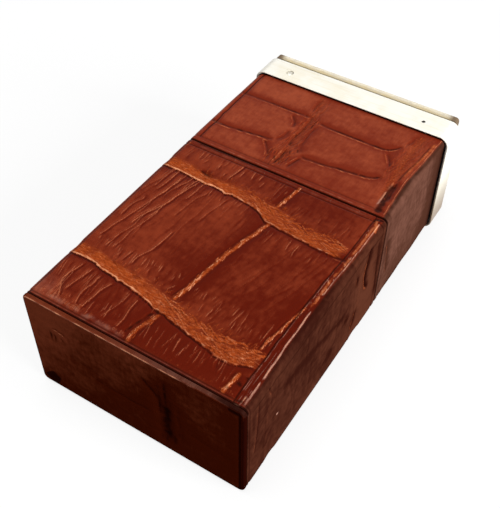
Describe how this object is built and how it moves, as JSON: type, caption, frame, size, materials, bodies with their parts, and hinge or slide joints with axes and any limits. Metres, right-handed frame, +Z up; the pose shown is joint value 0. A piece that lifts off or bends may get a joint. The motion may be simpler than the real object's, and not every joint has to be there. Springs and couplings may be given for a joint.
{
  "type": "pin box",
  "caption": "Hide-covered slip-lid box for pins, with a bone collar and a suede foot pad; the tall lid pulls off a thin wooden lip along its length.",
  "frame": {"origin": "centre of the box's footprint on the surface it lies on, with the broad lower face down", "axes": "+Y along the box from the lid's closed end to the foot pad, +Z up through the thin way, +X to the right seen from the lid's end"},
  "size_m": [0.0514, 0.0944, 0.0283],
  "materials": {
    "hide": "glazed tan crocodile hide",
    "cedar": "planed cedar board",
    "lip": "waxed cedar",
    "lining": "pasted lining paper",
    "velvet": "short cotton velvet",
    "bone": "polished bone",
    "pin": "filed nickel silver",
    "suede": "buff suede"
  },
  "bodies": {
    "cup": {"cup_hide_wrap": "hide", "cup_board_upper": "cedar", "cup_board_lower": "cedar", "cup_board_left": "cedar", "cup_board_right": "cedar", "cup_board_end": "cedar", "lip_upper": "lip", "lip_lower": "lip", "lip_left": "lip", "lip_right": "lip", "floor_pad": "velvet", "collar": "bone", "collar_pin_upper_left": "pin", "collar_pin_upper_right": "pin", "collar_pin_lower_left": "pin", "collar_pin_lower_right": "pin", "foot_pad": "suede"},
    "lid": {"lid_hide_wrap": "hide", "lid_hide_end": "hide", "lid_board_upper": "cedar", "lid_board_lower": "cedar", "lid_board_left": "cedar", "lid_board_right": "cedar", "lid_board_end": "cedar", "lid_lining_upper": "lining", "lid_lining_lower": "lining", "lid_lining_left": "lining", "lid_lining_right": "lining", "lid_lining_end": "lining"}
  },
  "joints": [
    {"name": "lid_slide", "type": "slide", "parent": "cup", "child": "lid", "axis": [0, -1, 0], "range_m": [0, 0.045]}
  ]
}
